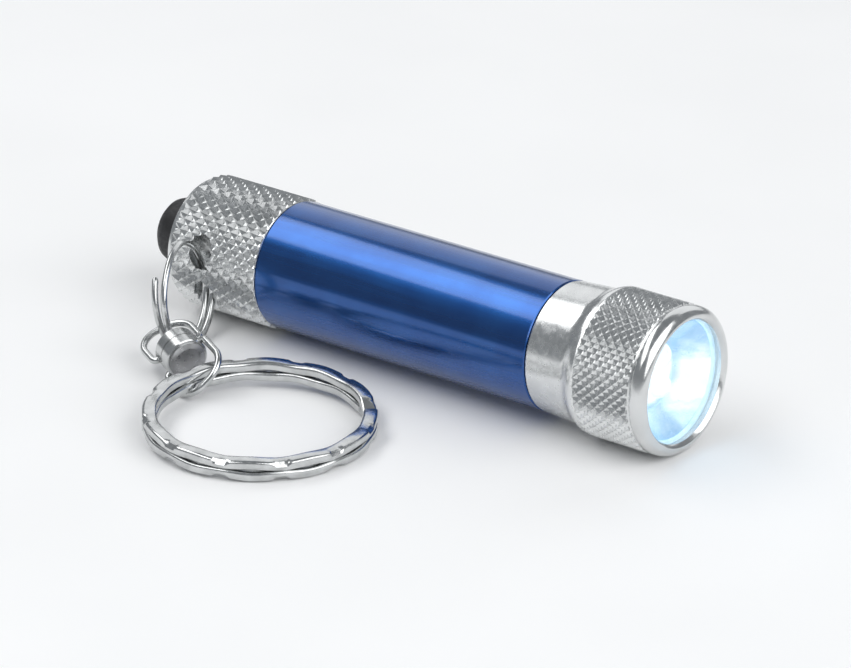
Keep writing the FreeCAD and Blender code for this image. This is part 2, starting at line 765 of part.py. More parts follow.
def check_everything():
    """Stop before anything is written if an object failed or a shape is not sound."""
    faults = [item.Name for item in doc.Objects if {"Invalid", "Error"} & set(item.State)]
    if faults:
        raise RuntimeError(f"objects in error: {faults}")
    for item in finished:
        if item.Shape.isNull() or not item.Shape.isValid() or item.Shape.Volume <= 0:
            raise RuntimeError(f"shape of {item.Label} is not sound")


make_torch()
make_chain()
doc.recompute()
check_everything()
os.makedirs("parts", exist_ok=True)
for item in finished:
    item.Shape.exportStep(f"parts/{item.Label}.step")
    box = item.Shape.BoundBox
    print(
        f"{item.Label:24s} volume {item.Shape.Volume:9.2f}  "
        f"x {box.XMin:7.2f} {box.XMax:7.2f}  y {box.YMin:7.2f} {box.YMax:7.2f}  "
        f"z {box.ZMin:6.2f} {box.ZMax:6.2f}"
    )
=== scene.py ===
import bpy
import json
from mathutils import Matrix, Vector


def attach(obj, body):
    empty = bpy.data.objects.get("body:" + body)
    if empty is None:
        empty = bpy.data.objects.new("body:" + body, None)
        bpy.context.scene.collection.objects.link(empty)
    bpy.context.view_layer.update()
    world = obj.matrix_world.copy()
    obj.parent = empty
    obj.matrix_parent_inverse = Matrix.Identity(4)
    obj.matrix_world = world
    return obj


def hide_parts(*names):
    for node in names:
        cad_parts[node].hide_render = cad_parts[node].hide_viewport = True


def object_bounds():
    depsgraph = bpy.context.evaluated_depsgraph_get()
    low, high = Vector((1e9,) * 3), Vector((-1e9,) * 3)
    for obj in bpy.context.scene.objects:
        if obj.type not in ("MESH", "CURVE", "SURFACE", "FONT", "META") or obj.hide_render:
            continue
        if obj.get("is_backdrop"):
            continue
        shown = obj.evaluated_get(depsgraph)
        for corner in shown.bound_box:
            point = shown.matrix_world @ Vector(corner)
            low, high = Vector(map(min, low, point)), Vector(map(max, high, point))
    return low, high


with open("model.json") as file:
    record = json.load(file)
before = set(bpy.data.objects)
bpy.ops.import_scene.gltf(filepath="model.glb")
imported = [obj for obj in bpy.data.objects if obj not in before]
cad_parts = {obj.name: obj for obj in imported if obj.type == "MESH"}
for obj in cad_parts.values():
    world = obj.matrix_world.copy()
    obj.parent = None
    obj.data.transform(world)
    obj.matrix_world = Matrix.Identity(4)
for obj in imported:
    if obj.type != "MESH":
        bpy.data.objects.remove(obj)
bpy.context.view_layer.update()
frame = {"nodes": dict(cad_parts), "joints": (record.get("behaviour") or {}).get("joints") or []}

import json
import math

import bpy
from mathutils import Matrix, Vector

MM = 0.001
ON_AXIS = 1e-6

# angles above which an edge is drawn sharp, degrees
SHARP_EDGE = 35.0
KNURL_EDGE = 12
CUT_EDGE = 14
WIRE_EDGE = 40
CRIMP_EDGE = 28

# ---------------------------------------------------------------- places taken from the frame
JOINTS = {joint["name"]: joint for joint in frame["joints"]}


def spin_frame(joint_name):
    """Matrix whose local X is a joint's axis and whose origin is the joint's position."""
    joint = JOINTS[joint_name]
    along = Vector(joint["axis"]).normalized()
    upward = Vector((0, 0, 1)) if abs(along.z) < 0.9 else Vector((0, 1, 0))
    across = upward.cross(along).normalized()
    up = along.cross(across)
    turn = Matrix((along, across, up)).transposed().to_4x4()
    return Matrix.Translation(Vector(joint["pos_m"])) @ turn


def node_points(node, matrix):
    """A CAD node's vertices in a local frame, in millimetres."""
    inverse = matrix.inverted()
    return [(inverse @ vertex.co) / MM for vertex in frame["nodes"][node].data.vertices]


def span(node, matrix):
    """Lowest and highest place of a CAD node along a local X axis, in millimetres."""
    stations = [point.x for point in node_points(node, matrix)]
    return min(stations), max(stations)


def reach(node, matrix):
    """Largest distance of a CAD node from a local X axis, in millimetres."""
    return max(math.hypot(point.y, point.z) for point in node_points(node, matrix))


def button_reach():
    """Largest radius of the push button behind the tail face, in millimetres."""
    outside = [point for point in node_points("push_button", TORCH) if point.x < 0]
    return max(math.hypot(point.y, point.z) for point in outside)


def torch_frame():
    """The torch's own frame: X along it from the tail face, in the pose it lies in."""
    axis_frame = spin_frame("head_turn")
    tail_face, _ = span("tail_cap", axis_frame)
    return axis_frame @ Matrix.Translation(Vector((tail_face * MM, 0, 0)))


TORCH = torch_frame()
SMALL_RING = spin_frame("small_ring_turn")
KEY_RING = spin_frame("key_ring_turn")
SWIVEL = spin_frame("swivel_spin")


# ---------------------------------------------------------------- torch sizes, mm
CUP_DEPTH = 3.1
tail_front = span("tail_cap", TORCH)[1]
tail_radius = reach("tail_cap", TORCH)
barrel_radius = reach("barrel", TORCH)
head_rear, head_front = span("head_shell", TORCH)
head_radius = reach("head_shell", TORCH)
bezel_rear, bezel_front = span("bezel_ring", TORCH)
button_end, button_inner = span("push_button", TORCH)
button_flange = reach("push_button", TORCH)
button_radius = button_reach()
reflector_back, reflector_rim = span("reflector", TORCH)
reflector_radius = reach("reflector", TORCH)
reflector_floor = reflector_rim - CUP_DEPTH

ROUND = 240
NECK_RADIUS = 6.85
HOLE_STATION = 5.1
HOLE_RADIUS = 1.6
HOLE_DEPTH = 5.25
HOLE_TILT = 27.5
HOLE_ROLL = 8.0
GLOW_DROP = 1.7 * MM
CUP_FLOOR_RADIUS = 4.2

# ---------------------------------------------------------------- chain sizes, mm and radians
BAIL_WIRE = 0.4
BAIL_CORNER = 2.5
SMALL_WIRE = 0.38

# small split ring: angles around it where its wire and its crossing start and end
SMALL_RING_START = math.radians(140)
SMALL_RING_END = math.radians(728)
SMALL_CROSSING_START = math.radians(385)
SMALL_CROSSING_END = math.radians(500)
SMALL_RING_SPLAY = 0.45

# key ring: where its wire starts, and its crimps
KEY_RING_START = math.radians(48)
NOTCHES = 12
NOTCH_PHASE = math.radians(-9.5)
NOTCH_HALF_WIDTH = 0.1
NOTCH_FLANK = 0.06
KEY_HALF_RADIAL = 0.82
KEY_HALF_COIL = 0.56


# ---------------------------------------------------------------- mesh builders
def add_piece(name, points, faces, matrix, material, sharp_degrees=SHARP_EDGE):
    """An object from local points in millimetres, smooth except at sharp edges."""
    mesh = bpy.data.meshes.new(name)
    mesh.from_pydata([matrix @ (Vector(point) * MM) for point in points], [], faces)
    mesh.validate()
    mesh.shade_smooth()
    mesh.set_sharp_from_angle(angle=math.radians(sharp_degrees))
    mesh.materials.append(material)
    piece = bpy.data.objects.new(name, mesh)
    bpy.context.scene.collection.objects.link(piece)
    return piece


def ridge(place):
    """Height of a V groove pattern: 1 on a ridge, 0 at the bottom of a groove."""
    return 2 * abs(place - math.floor(place) - 0.5)


def knurl_height(column, row):
    """Height of crossed ridges at a quarter-pitch grid point, from 0 to 1."""
    rising = ridge((column + row) / 4)
    falling = ridge((column - row) / 4)
    return max(rising, falling)


def lathe(name, rows, segments, matrix, material, knurl_depth=0.0, sharp_degrees=SHARP_EDGE):
    """A closed body of revolution about local X.

    Each row is (station, radius) or, inside a knurled band, (station, radius, row number).
    """
    points = []
    rings = []
    for row in rows:
        station, radius = row[0], row[1]
        if radius < ON_AXIS:
            rings.append([len(points)])
            points.append((station, 0, 0))
            continue
        ring = []
        for column in range(segments):
            angle = 2 * math.pi * column / segments
            local = radius
            if len(row) == 3:
                local -= knurl_depth * (1 - knurl_height(column, row[2]))
            ring.append(len(points))
            points.append((station, local * math.cos(angle), local * math.sin(angle)))
        rings.append(ring)
    faces = []
    for index, ring in enumerate(rings):
        following = (index + 1) % len(rings)
        other = rings[following]
        if len(ring) == 1 and len(other) == 1:
            continue
        knurled = len(rows[index]) == 3 and len(rows[following]) == 3
        for column in range(segments):
            after = (column + 1) % segments
            if len(ring) == 1:
                faces.append((ring[0], other[after], other[column]))
            elif len(other) == 1:
                faces.append((ring[column], ring[after], other[0]))
            elif not knurled:
                faces.append((ring[column], ring[after], other[after], other[column]))
            elif (column + rows[index][2]) % 2:
                faces.append((ring[column], ring[after], other[column]))
                faces.append((ring[after], other[after], other[column]))
            else:
                faces.append((ring[column], ring[after], other[after]))
                faces.append((ring[column], other[after], other[column]))
    return add_piece(name, points, faces, matrix, material, sharp_degrees)


def arc(centre, radius, start, end, steps):
    """Points of an arc in a (station, radius) outline; angles in degrees from the station axis."""
    found = []
    for step in range(steps + 1):
        angle = math.radians(start + (end - start) * step / steps)
        found.append((centre[0] + radius * math.cos(angle), centre[1] + radius * math.sin(angle)))
    return found


def sweep(name, stations, matrix, material, sharp_degrees=SHARP_EDGE):
    """A solid through a list of equal-length point loops, with flat ends."""
    count = len(stations[0])
    points = [point for loop in stations for point in loop]
    faces = []
    for index in range(len(stations) - 1):
        base = index * count
        for corner in range(count):
            after = (corner + 1) % count
            faces.append(
                (base + corner, base + after, base + count + after, base + count + corner)
            )
    last = (len(stations) - 1) * count
    faces.append(tuple(reversed(range(count))))
    faces.append(tuple(last + corner for corner in range(count)))
    return add_piece(name, points, faces, matrix, material, sharp_degrees)


# ---------------------------------------------------------------- materials
def new_material(name):
    """An empty node material with a Principled shader; returns material, nodes, links, shader."""
    material = bpy.data.materials.new(name)
    material.use_nodes = True
    nodes = material.node_tree.nodes
    return material, nodes, material.node_tree.links, nodes["Principled BSDF"]


def noise_field(nodes, links, scale, detail, stretch=(1, 1, 1)):
    """Noise in the object's own space, in features per metre; stretch squeezes it along an axis."""
    place = nodes.new("ShaderNodeTexCoord")
    mapping = nodes.new("ShaderNodeMapping")
    mapping.inputs["Scale"].default_value = stretch
    field = nodes.new("ShaderNodeTexNoise")
    field.inputs["Scale"].default_value = scale
    field.inputs["Detail"].default_value = detail
    links.new(place.outputs["Object"], mapping.inputs["Vector"])
    links.new(mapping.outputs["Vector"], field.inputs["Vector"])
    return field


def graded(nodes, links, source, low, high, from_low=0.35, from_high=0.65):
    """A value that runs from low to high as a noise field runs through its middle range."""
    change = nodes.new("ShaderNodeMapRange")
    change.inputs["From Min"].default_value = from_low
    change.inputs["From Max"].default_value = from_high
    change.inputs["To Min"].default_value = low
    change.inputs["To Max"].default_value = high
    links.new(source, change.inputs["Value"])
    return change.outputs["Result"]


def two_tones(nodes, links, source, dark, light):
    """A colour between two tones, chosen by a noise field."""
    ramp = nodes.new("ShaderNodeValToRGB")
    ramp.color_ramp.elements[0].position = 0.35
    ramp.color_ramp.elements[0].color = (*dark, 1)
    ramp.color_ramp.elements[1].position = 0.65
    ramp.color_ramp.elements[1].color = (*light, 1)
    links.new(source, ramp.inputs["Fac"])
    return ramp.outputs["Color"]


def surface(
    name, dark, light, metallic, roughness, grain, bump, stretch=(1, 1, 1), coat=0.0, coat_index=1.5
):
    """A general procedural surface: two close tones, uneven roughness and a fine bump."""
    material, nodes, links, shader = new_material(name)
    blotches = noise_field(nodes, links, grain * 0.25, 3)
    fine = noise_field(nodes, links, grain, 6, stretch)
    colour = two_tones(nodes, links, blotches.outputs["Fac"], dark, light)
    links.new(colour, shader.inputs["Base Color"])
    shader.inputs["Metallic"].default_value = metallic
    uneven = graded(nodes, links, fine.outputs["Fac"], roughness * 0.75, roughness * 1.25)
    links.new(uneven, shader.inputs["Roughness"])
    shader.inputs["Coat Weight"].default_value = coat
    shader.inputs["Coat Roughness"].default_value = 0.12
    shader.inputs["Coat IOR"].default_value = coat_index
    relief = nodes.new("ShaderNodeBump")
    relief.inputs["Strength"].default_value = bump
    relief.inputs["Distance"].default_value = 0.02 * MM
    links.new(fine.outputs["Fac"], relief.inputs["Height"])
    links.new(relief.outputs["Normal"], shader.inputs["Normal"])
    return material


def anodised_blue():
    """Glossy blue anodised tube with faint lengthwise drawing lines."""
    return surface(
        "anodised_blue", (0.006, 0.072, 0.29), (0.010, 0.092, 0.34), 1.0, 0.26, 900, 0.15,
        stretch=(0.03, 1, 1), coat=0.7, coat_index=1.6,
    )


def knurled_aluminium():
    """Bright natural aluminium of the knurled parts."""
    return surface("knurled_aluminium", (0.68, 0.69, 0.69), (0.78, 0.79, 0.79), 1.0, 0.24, 1500, 0.06)


def polished_aluminium():
    """Polished bezel ring."""
    return surface("polished_aluminium", (0.64, 0.65, 0.65), (0.72, 0.73, 0.73), 1.0, 0.2, 1200, 0.2)


def nickel_wire():
    """Plated steel of rings, bails and swivel."""
    return surface("nickel_wire", (0.52, 0.53, 0.53), (0.66, 0.67, 0.67), 1.0, 0.2, 2500, 0.35)


def brushed_nickel():
    """Duller plated steel of the swivel's end faces."""
    return surface("brushed_nickel", (0.42, 0.42, 0.43), (0.55, 0.55, 0.56), 1.0, 0.34, 2500, 0.5)


def black_rubber():
    """Matte black rubber."""
    return surface("black_rubber", (0.012, 0.012, 0.013), (0.022, 0.022, 0.024), 0.0, 0.55, 2500, 0.6)


def inner_plastic(name, dark, light):
    """Plain moulded plastic."""
    return surface(name, dark, light, 0.0, 0.45, 1500, 0.3)


def brass():
    """Stamped contact metal."""
    return surface("contact_brass", (0.62, 0.45, 0.20), (0.74, 0.56, 0.28), 1.0, 0.3, 2000, 0.2)


def arithmetic(nodes, links, operation, first, second=None):
    """The result of one math node; second is a number, another result or nothing."""
    node = nodes.new("ShaderNodeMath")
    node.operation = operation
    links.new(first, node.inputs[0])
    if isinstance(second, float):
        node.inputs[1].default_value = second
    elif second is not None:
        links.new(second, node.inputs[1])
    return node.outputs["Value"]


def painted_glow_blue_mask(nodes, links, place, flecks):
    """Mask of the painted glow: 0 in the level band of painted white light across the cup, 1 well
    above or below it where the painted glow turns blue.
    """
    parts = nodes.new("ShaderNodeSeparateXYZ")
    links.new(place, parts.inputs["Vector"])
    middle = (TORCH @ Vector((reflector_floor * MM, 0, 0))).z
    offset = arithmetic(nodes, links, "SUBTRACT", parts.outputs["Z"], middle - GLOW_DROP)
    away = arithmetic(nodes, links, "ABSOLUTE", offset)
    wander = graded(nodes, links, flecks, -0.8 * MM, 0.8 * MM)
    edge = arithmetic(nodes, links, "ADD", away, wander)
    return graded(nodes, links, edge, 0.0, 1.0, 1.4 * MM, 4.6 * MM)


def painted_corner_shade_ring(nodes, links, place):
    """Painted shade: a half-strength bluer ring where the cup's wall meets its floor, 0 elsewhere."""
    inverse = TORCH.inverted()
    local = nodes.new("ShaderNodeMapping")
    local.inputs["Location"].default_value = inverse.translation
    local.inputs["Rotation"].default_value = inverse.to_euler()
    links.new(place, local.inputs["Vector"])
    flat = nodes.new("ShaderNodeVectorMath")
    flat.operation = "MULTIPLY"
    flat.inputs[1].default_value = (0, 1, 1)
    links.new(local.outputs["Vector"], flat.inputs[0])
    length = nodes.new("ShaderNodeVectorMath")
    length.operation = "LENGTH"
    links.new(flat.outputs["Vector"], length.inputs[0])
    from_corner = arithmetic(
        nodes, links, "SUBTRACT", length.outputs["Value"], CUP_FLOOR_RADIUS * MM
    )
    beside = arithmetic(nodes, links, "ABSOLUTE", from_corner)
    return graded(nodes, links, beside, 0.5, 0.0, 0.1 * MM, 0.6 * MM)


def reflector_painted_glow():
    """Silvered cup with the diodes' light painted on as glow: a white band, pale blue above and below,
    and a pale blue ring of painted shade at the corner.
    """
    material, nodes, links, shader = new_material("reflector_painted_glow")
    place = nodes.new("ShaderNodeTexCoord").outputs["Object"]
    flecks = noise_field(nodes, links, 500, 4, stretch=(1, 1, 2)).outputs["Fac"]
    # painted glow: white band across the cup, pale blue above and below it
    band = painted_glow_blue_mask(nodes, links, place, flecks)
    # painted shade: a darker blue ring at the crease between the cup's wall and floor
    corner = painted_corner_shade_ring(nodes, links, place)
    total = arithmetic(nodes, links, "ADD", band, corner)
    tone = nodes.new("ShaderNodeValToRGB")
    tone.color_ramp.elements[0].color = (0.96, 1.0, 1.0, 1)
    tone.color_ramp.elements[1].color = (0.17, 0.46, 0.80, 1)
    middle_tone = tone.color_ramp.elements.new(0.5)
    middle_tone.color = (0.42, 0.72, 0.95, 1)
    links.new(total, tone.inputs["Fac"])
    links.new(tone.outputs["Color"], shader.inputs["Emission Color"])
    silver = two_tones(nodes, links, flecks, (0.20, 0.24, 0.27), (0.28, 0.32, 0.35))
    links.new(silver, shader.inputs["Base Color"])
    # painted glow: strength of the light the cup emits, though it is no lamp
    shader.inputs["Emission Strength"].default_value = 0.92
    shader.inputs["Metallic"].default_value = 1.0
    links.new(graded(nodes, links, flecks, 0.16, 0.3), shader.inputs["Roughness"])
    return material


def lit_diode():
    """Clear epoxy diode, glowing white with pale blue flecks."""
    material, nodes, links, shader = new_material("lit_diode")
    flecks = noise_field(nodes, links, 900, 3)
    colour = two_tones(nodes, links, flecks.outputs["Fac"], (0.62, 0.86, 1.0), (0.90, 1.0, 1.0))
    links.new(colour, shader.inputs["Base Color"])
    links.new(colour, shader.inputs["Emission Color"])
    shader.inputs["Emission Strength"].default_value = 0.62
    shader.inputs["Roughness"].default_value = 0.1
    return material


def silicone_painted_glow():
    """Translucent seal with a painted glow standing in for the diodes' light it carries."""
    material, nodes, links, shader = new_material("silicone_painted_glow")
    flecks = noise_field(nodes, links, 900, 3)
    colour = two_tones(nodes, links, flecks.outputs["Fac"], (0.50, 0.75, 0.92), (0.62, 0.84, 0.96))
    links.new(colour, shader.inputs["Base Color"])
    # painted glow: the seal's colour is also emitted as light
    links.new(colour, shader.inputs["Emission Color"])
    shader.inputs["Emission Strength"].default_value = 0.5
    shader.inputs["Roughness"].default_value = 0.5
    return material


def clear_window():
    """Thin clear lens: mostly see-through with a faint surface sheen and specks of dust."""
    material, nodes, links, shader = new_material("clear_window")
    dust = noise_field(nodes, links, 1500, 3)
    colour = two_tones(nodes, links, dust.outputs["Fac"], (0.93, 0.97, 1.0), (1.0, 1.0, 1.0))
    links.new(colour, shader.inputs["Base Color"])
    rough = graded(nodes, links, dust.outputs["Fac"], 0.01, 0.05)
    links.new(rough, shader.inputs["Roughness"])
    shader.inputs["Alpha"].default_value = 0.12
    return material


def circuit_green():
    """Solder mask of the round board."""
    return surface("circuit_green", (0.01, 0.10, 0.03), (0.02, 0.16, 0.05), 0.0, 0.35, 1500, 0.3)


# ---------------------------------------------------------------- material library
MATERIALS = {
    "blue": anodised_blue(),
    "knurl": knurled_aluminium(),
    "polish": polished_aluminium(),
    "wire": nickel_wire(),
    "brushed": brushed_nickel(),
    "rubber": black_rubber(),
    "sleeve": inner_plastic("sleeve_plastic", (0.62, 0.62, 0.58), (0.72, 0.72, 0.68)),
    "switch": inner_plastic("switch_plastic", (0.02, 0.02, 0.02), (0.035, 0.035, 0.035)),
    "seal": silicone_painted_glow(),
    "brass": brass(),
    "reflector": reflector_painted_glow(),
    "diode": lit_diode(),
    "window": clear_window(),
    "board": circuit_green(),
}


def cut_with(piece, cutters):
    """Subtract helper solids from a piece, then remove the helpers."""
    bpy.context.view_layer.objects.active = piece
    for cutter in cutters:
        change = piece.modifiers.new("cut", "BOOLEAN")
        change.operation = "DIFFERENCE"
        change.solver = "EXACT"
        change.object = cutter
        bpy.ops.object.modifier_apply(modifier=change.name)
    for cutter in cutters:
        bpy.data.objects.remove(cutter)


def knurl_rows(low, high, pitch, radius):
    """Rows of a knurled band at quarter pitches, as near to the wanted pitch as whole cells allow."""
    cells = max(1, round((high - low) / pitch))
    count = 4 * cells
    return [(low + (high - low) * row / count, radius, row) for row in range(count + 1)]


# ---------------------------------------------------------------- torch pieces
def make_tail_cap():
    """Tail cap: plain rear rim, crossed ridges, button recess and the V-shaped lanyard hole."""
    depth = 0.5
    around = 37
    radius = tail_radius - 0.12
    recess = button_radius + 0.12
    recess_floor = 2.6
    stem_bore = 2.68
    septum_front = 7.4
    neck_step = 8.6
    inner_radius = 5.9
    rows = [(recess_floor, stem_bore), (recess_floor, recess)]
    rows += [(0.15, recess), (0, recess + 0.15)]
    rows += [(0.0, radius - 0.75), (0.12, radius - 0.5), (0.5, radius - 0.42), (0.65, radius - 0.5)]
    rows += knurl_rows(0.8, tail_front - 0.3, 1.75, radius)
    rows += [(tail_front - 0.2, radius - 0.25), (tail_front - 0.05, barrel_radius)]
    rows += [(tail_front, barrel_radius - 0.1)]
    rows += [(tail_front, NECK_RADIUS)]
    rows += [(neck_step, NECK_RADIUS), (neck_step, inner_radius)]
    rows += [(septum_front, inner_radius), (septum_front, stem_bore)]
    cap = lathe(
        "knurled_tail_cap", rows, 4 * around, TORCH, MATERIALS["knurl"], depth, KNURL_EDGE
    )
    roll = Matrix.Rotation(math.radians(HOLE_ROLL), 4, "X")
    cutters = []
    for side in (1, -1):
        tilt = Matrix.Rotation(math.radians(90 - side * (90 - HOLE_TILT)), 4, "X")
        meeting = Matrix.Translation(Vector((HOLE_STATION, -HOLE_DEPTH, 0)) * MM)
        stand = Matrix.Rotation(math.radians(-90), 4, "Y")
        drill = [(0, 0), (0, HOLE_RADIUS), (tail_radius, HOLE_RADIUS), (tail_radius, 0)]
        place = TORCH @ roll @ meeting @ tilt @ stand
        cutters.append(lathe("drilling", drill, 64, place, MATERIALS["knurl"]))
    cut_with(cap, cutters)
    cap.data.set_sharp_from_angle(angle=math.radians(CUT_EDGE))
    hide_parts("tail_cap")
    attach(cap, "torch_body")


def make_barrel():
    """Blue tube with slightly eased ends, and its two bare necks."""
    low, high = span("barrel", TORCH)
    rear = tail_front + 0.05
    front = head_rear - 0.05
    ease = 0.12
    bore = 6.3
    neck = 6.8
    rows = [(low, bore), (low, neck), (rear, neck)]
    rows += [(rear, barrel_radius - ease), (rear + ease, barrel_radius)]
    rows += [(front - ease, barrel_radius), (front, barrel_radius - ease)]
    rows += [(front, neck), (high, neck), (high, bore)]
    barrel = lathe("anodised_barrel", rows, ROUND, TORCH, MATERIALS["blue"])
    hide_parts("barrel")
    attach(barrel, "torch_body")


def make_head_shell():
    """Head: seam, plain collar, flare with a bright shoulder and a band of crossed ridges."""
    depth = 0.3
    around = 48
    collar_end = head_rear + 5.0
    neck_end = head_rear + 5.45
    cup_seat = head_rear + 6.75
    band_start = head_rear + 7.25
    lens_seat = head_front - 1.7
    flare_length = 1.9
    flare_steps = 8
    inner_radius = 5.9
    cup_bore = 7.2
    lens_bore = 7.65
    rows = [(head_rear, NECK_RADIUS), (head_rear, barrel_radius - 0.2)]
    rows += [(head_rear + 0.14, barrel_radius - 0.06), (head_rear + 0.25, barrel_radius)]
    collar_radius = barrel_radius + 0.3
    rows += [(collar_end, collar_radius)]
    rise = head_radius - collar_radius
    for step in range(1, flare_steps + 1):
        part = step / flare_steps
        eased = part * part * (3 - 2 * part)
        rows.append((collar_end + flare_length * part, collar_radius + rise * eased))
    rows += [(band_start - 0.15, head_radius), (band_start - 0.02, head_radius - depth * 0.5)]
    rows += knurl_rows(band_start, head_front - 0.3, 1.18, head_radius)
    rows += [(head_front - 0.2, head_radius - depth), (head_front, head_radius - 0.45)]
    rows += [(head_front, lens_bore), (lens_seat, lens_bore), (lens_seat, cup_bore)]
    rows += [(cup_seat, cup_bore), (cup_seat, inner_radius)]
    rows += [(neck_end, inner_radius), (neck_end, NECK_RADIUS)]
    head = lathe(
        "knurled_head", rows, 4 * around, TORCH, MATERIALS["knurl"], depth, KNURL_EDGE
    )
    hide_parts("head_shell")
    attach(head, "head")


def make_bezel_ring():
    """Polished ring with a full rounded shoulder and a thin flat lip."""
    groove = head_front + 0.15
    outer = head_radius - 0.02
    radius = 1.25
    bore = 7.3
    spigot = 7.6
    lip = 6.97
    rows = [(bezel_rear, bore), (bezel_rear, spigot), (groove, spigot), (groove, outer - 0.25)]
    rows += [(groove + 0.08, outer - 0.1), (groove + 0.25, outer)]
    rows += reversed(arc((bezel_front - radius, outer - radius), radius, 8, 90, 20))
    rows += [(bezel_front - 0.05, bore), (bezel_front - 0.45, lip)]
    rows += [(bezel_front - 0.55, lip), (bezel_front - 0.55, bore)]
    bezel = lathe("polished_bezel", rows, ROUND, TORCH, MATERIALS["polish"])
    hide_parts("bezel_ring")
    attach(bezel, "head")


def make_reflector():
    """Smooth silvered cup with a small radius where wall and floor meet."""
    rim = reflector_rim
    floor = reflector_floor
    rows = [(reflector_back, 6.3), (reflector_back, reflector_radius), (rim, reflector_radius)]
    rows += [(rim, 6.8), (rim - 0.1, 6.72), (rim - 1.0, 5.9), (rim - 2.0, 5.1)]
    rows += [(floor + 0.25, 4.35), (floor + 0.06, 4.22), (floor, 4.05), (floor, 0)]
    rows += [(floor - 0.8, 0), (floor - 0.8, 4.4), (floor + 0.9, 6.3)]
    cup = lathe("silvered_cup", rows, ROUND, TORCH, MATERIALS["reflector"])
    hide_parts("reflector")
    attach(cup, "head")


def make_push_button():
    """Rubber button: domed cap with a soft edge, stem and flange."""
    cap = button_radius
    shoulder = 1.2
    stem_radius = 2.6
    flange_rear = 7.45
    rows = [(button_end, 0), (button_end + 0.03, cap - 2.5), (button_end + 0.16, cap - 1.7)]
    rows += [(button_end + 0.48, cap - 0.85), (button_end + 1.0, cap - 0.3)]
    rows += [(button_end + 1.8, cap), (shoulder, cap)]
    rows += [(shoulder, stem_radius), (flange_rear, stem_radius)]
    rows += [(flange_rear, button_flange), (button_inner, button_flange), (button_inner, 0)]
    button = lathe("rubber_button", rows, 128, TORCH, MATERIALS["rubber"])
    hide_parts("push_button")
    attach(button, "button")


# ---------------------------------------------------------------- chain pieces
def make_small_split_ring():
    """Thin round wire: one free end on the far side, a turn through the hole, and one more turn."""
    ring_radius = reach("small_split_ring", SMALL_RING) - 0.4
    half_width = span("small_split_ring", SMALL_RING)[1] - 0.4
    corners = 16
    steps = 260
    loops = []
    for step in range(steps + 1):
        angle = SMALL_RING_START + (SMALL_RING_END - SMALL_RING_START) * step / steps
        crossing = (angle - SMALL_CROSSING_START) / (SMALL_CROSSING_END - SMALL_CROSSING_START)
        blend = min(1, max(0, crossing))
        side = half_width * (2 * blend * blend * (3 - 2 * blend) - 1)
        near_end = max(0, 1 - (angle - SMALL_RING_START) / math.radians(110))
        side -= SMALL_RING_SPLAY * near_end * near_end
        end_distance = min(step, steps - step) / steps
        wire = SMALL_WIRE * min(1, 0.55 + end_distance * 90)
        loop = []
        for corner in range(corners):
            turn = 2 * math.pi * corner / corners
            radius = ring_radius + wire * math.cos(turn)
            place = side + wire * math.sin(turn)
            loop.append((place, radius * math.cos(angle), radius * math.sin(angle)))
        loops.append(loop)
    ring = sweep("small_split_ring_wire", loops, SMALL_RING, MATERIALS["wire"], WIRE_EDGE)
    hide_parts("small_split_ring")
    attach(ring, "small_ring")


def bail_frame(node, pivot):
    """Frame of a bail: X from the swivel centre to the crossbar, Y along its two pins."""
    centre = SWIVEL.translation
    outward = SWIVEL.col[0].to_3d()
    low, high = span(node, SWIVEL)
    if low + high < 0:
        outward = -outward
    pins = Vector(JOINTS[pivot]["axis"]).normalized()
    turn = Matrix((outward, pins, outward.cross(pins))).transposed().to_4x4()
    station = (Vector(JOINTS[pivot]["pos_m"]) - centre).dot(outward) / MM
    return Matrix.Translation(centre) @ turn, station


def bail_line(station, crossbar, width):
    """Half of a bail's centre line, from the pin to the middle of the crossbar, with directions."""
    corner = BAIL_CORNER
    tight = 0.6
    pin_start = 1.75
    tight_steps = 12
    corner_steps = 24
    line = [(station, pin_start, 90)]
    for step in range(tight_steps + 1):
        turn = 90 - 90 * step / tight_steps
        angle = math.radians(90 + turn)
        x = station + tight + tight * math.cos(angle)
        line.append((x, width - tight + tight * math.sin(angle), turn))
    for step in range(corner_steps + 1):
        turn = -90 * step / corner_steps
        angle = math.radians(90 + turn)
        x = crossbar - corner + corner * math.cos(angle)
        line.append((x, width - corner + corner * math.sin(angle), turn))
    return line


def make_bail(name, node, pivot, body):
    """Bent wire loop with generous corners, its two ends turned inwards as pins."""
    matrix, station = bail_frame(node, pivot)
    points = node_points(node, matrix)
    crossbar = max(point.x for point in points) - BAIL_WIRE
    width = max(point.y for point in points) - BAIL_WIRE
    half = bail_line(station, crossbar, width)
    line = half + [(x, -y, -180 - turn) for x, y, turn in reversed(half)]
    corners = 18
    loops = []
    for x, y, heading in line:
        side = (-math.sin(math.radians(heading)), math.cos(math.radians(heading)))
        loop = []
        for corner in range(corners):
            around = 2 * math.pi * corner / corners
            out = BAIL_WIRE * math.cos(around)
            loop.append((x + out * side[0], y + out * side[1], BAIL_WIRE * math.sin(around)))
        loops.append(loop)
    bail = sweep(name, loops, matrix, MATERIALS["wire"], WIRE_EDGE)
    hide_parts(node)
    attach(bail, body)


def notch_amount(angle):
    """1 in the middle of a crimp of the key ring, 0 between crimps, with steep flanks."""
    place = (angle - NOTCH_PHASE) * NOTCHES / (2 * math.pi)
    away = abs(place - round(place))
    return min(1, max(0, (NOTCH_HALF_WIDTH + NOTCH_FLANK - away) / NOTCH_FLANK))


